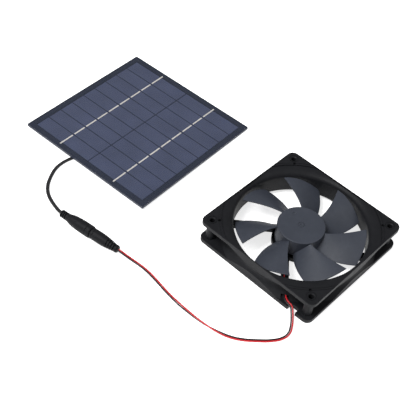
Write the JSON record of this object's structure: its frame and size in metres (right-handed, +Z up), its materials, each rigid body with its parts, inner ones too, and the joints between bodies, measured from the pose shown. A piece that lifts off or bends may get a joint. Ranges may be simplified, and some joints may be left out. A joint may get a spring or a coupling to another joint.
{
  "type": "solar attic fan",
  "caption": "Square solar panel wired through a mated barrel plug and socket to a square axial fan with a free-spinning bladed rotor.",
  "frame": {"origin": "on the floor, at the bottom centre of the box around the fan and the panel", "axes": "+Z up along the fan axis; +X from the panel towards the fan; the leads lie on the -Y side"},
  "size_m": [0.3255, 0.203, 0.025],
  "materials": {
    "frame_plastic": "fine satin black moulding",
    "blade_plastic": "satin blue-grey moulding",
    "moulded_rubber": "matt black moulded",
    "board": "dark laminate",
    "solar_cell": "slate blue silicon",
    "clear_resin": "clear gloss over the cells",
    "tinned_copper": "tinned, soft sheen",
    "steel": "ground",
    "magnet": "bonded ferrite, matt",
    "copper_wire": "enamelled windings",
    "brass": "turned",
    "nylon": "natural white",
    "circuit_board": "green laminate",
    "label_foil": "plain silver foil, nothing printed",
    "red_insulation": "smooth",
    "black_insulation": "smooth"
  },
  "bodies": {
    "fan": {"fan_frame": "frame_plastic", "blank_label": "label_foil", "bearing_tube": "brass", "upper_bearing_outer": "steel", "lower_bearing_outer": "steel", "stator_core": "steel", "lower_insulator": "nylon", "upper_insulator": "nylon", "winding_1": "copper_wire", "winding_2": "copper_wire", "winding_3": "copper_wire", "winding_4": "copper_wire", "driver_board": "circuit_board", "driver_chip": "moulded_rubber", "red_wire_inner": "red_insulation", "black_wire_inner": "black_insulation", "plug_body": "moulded_rubber", "plug_sleeve": "tinned_copper", "plug_spacer": "moulded_rubber", "plug_contact": "brass", "red_wire": "red_insulation", "black_wire": "black_insulation"},
    "rotor": {"impeller": "blade_plastic", "rotor_yoke": "steel", "ring_magnet": "magnet", "rotor_bush": "brass", "shaft": "steel", "preload_washer": "steel", "retaining_clip": "steel", "upper_bearing_inner": "steel", "lower_bearing_inner": "steel"},
    "panel": {"backing_board": "board", "cell_1": "solar_cell", "cell_2": "solar_cell", "cell_3": "solar_cell", "cell_4": "solar_cell", "cell_5": "solar_cell", "cell_6": "solar_cell", "cell_7": "solar_cell", "cell_8": "solar_cell", "cell_9": "solar_cell", "cell_10": "solar_cell", "cell_11": "solar_cell", "cell_12": "solar_cell", "cell_13": "solar_cell", "cell_14": "solar_cell", "cell_15": "solar_cell", "cell_16": "solar_cell", "cell_17": "solar_cell", "cell_18": "solar_cell", "ribbon_left": "tinned_copper", "ribbon_right": "tinned_copper", "clear_cover": "clear_resin", "solder_pad_plus": "tinned_copper", "solder_pad_minus": "tinned_copper", "junction_cap": "moulded_rubber", "socket_body": "moulded_rubber", "socket_liner": "nylon", "socket_pin": "tinned_copper", "panel_cable": "moulded_rubber"}
  },
  "joints": [
    {"name": "rotor_spin", "type": "hinge", "parent": "fan", "child": "rotor", "pos_m": [0.10279, 0.0038, 0.0125], "axis": [0, 0, 1], "continuous": true},
    {"name": "plug_pull", "type": "slide", "parent": "fan", "child": "panel", "axis": [-0.9919, -0.1271, 0], "range_m": [0, 0.012]}
  ]
}
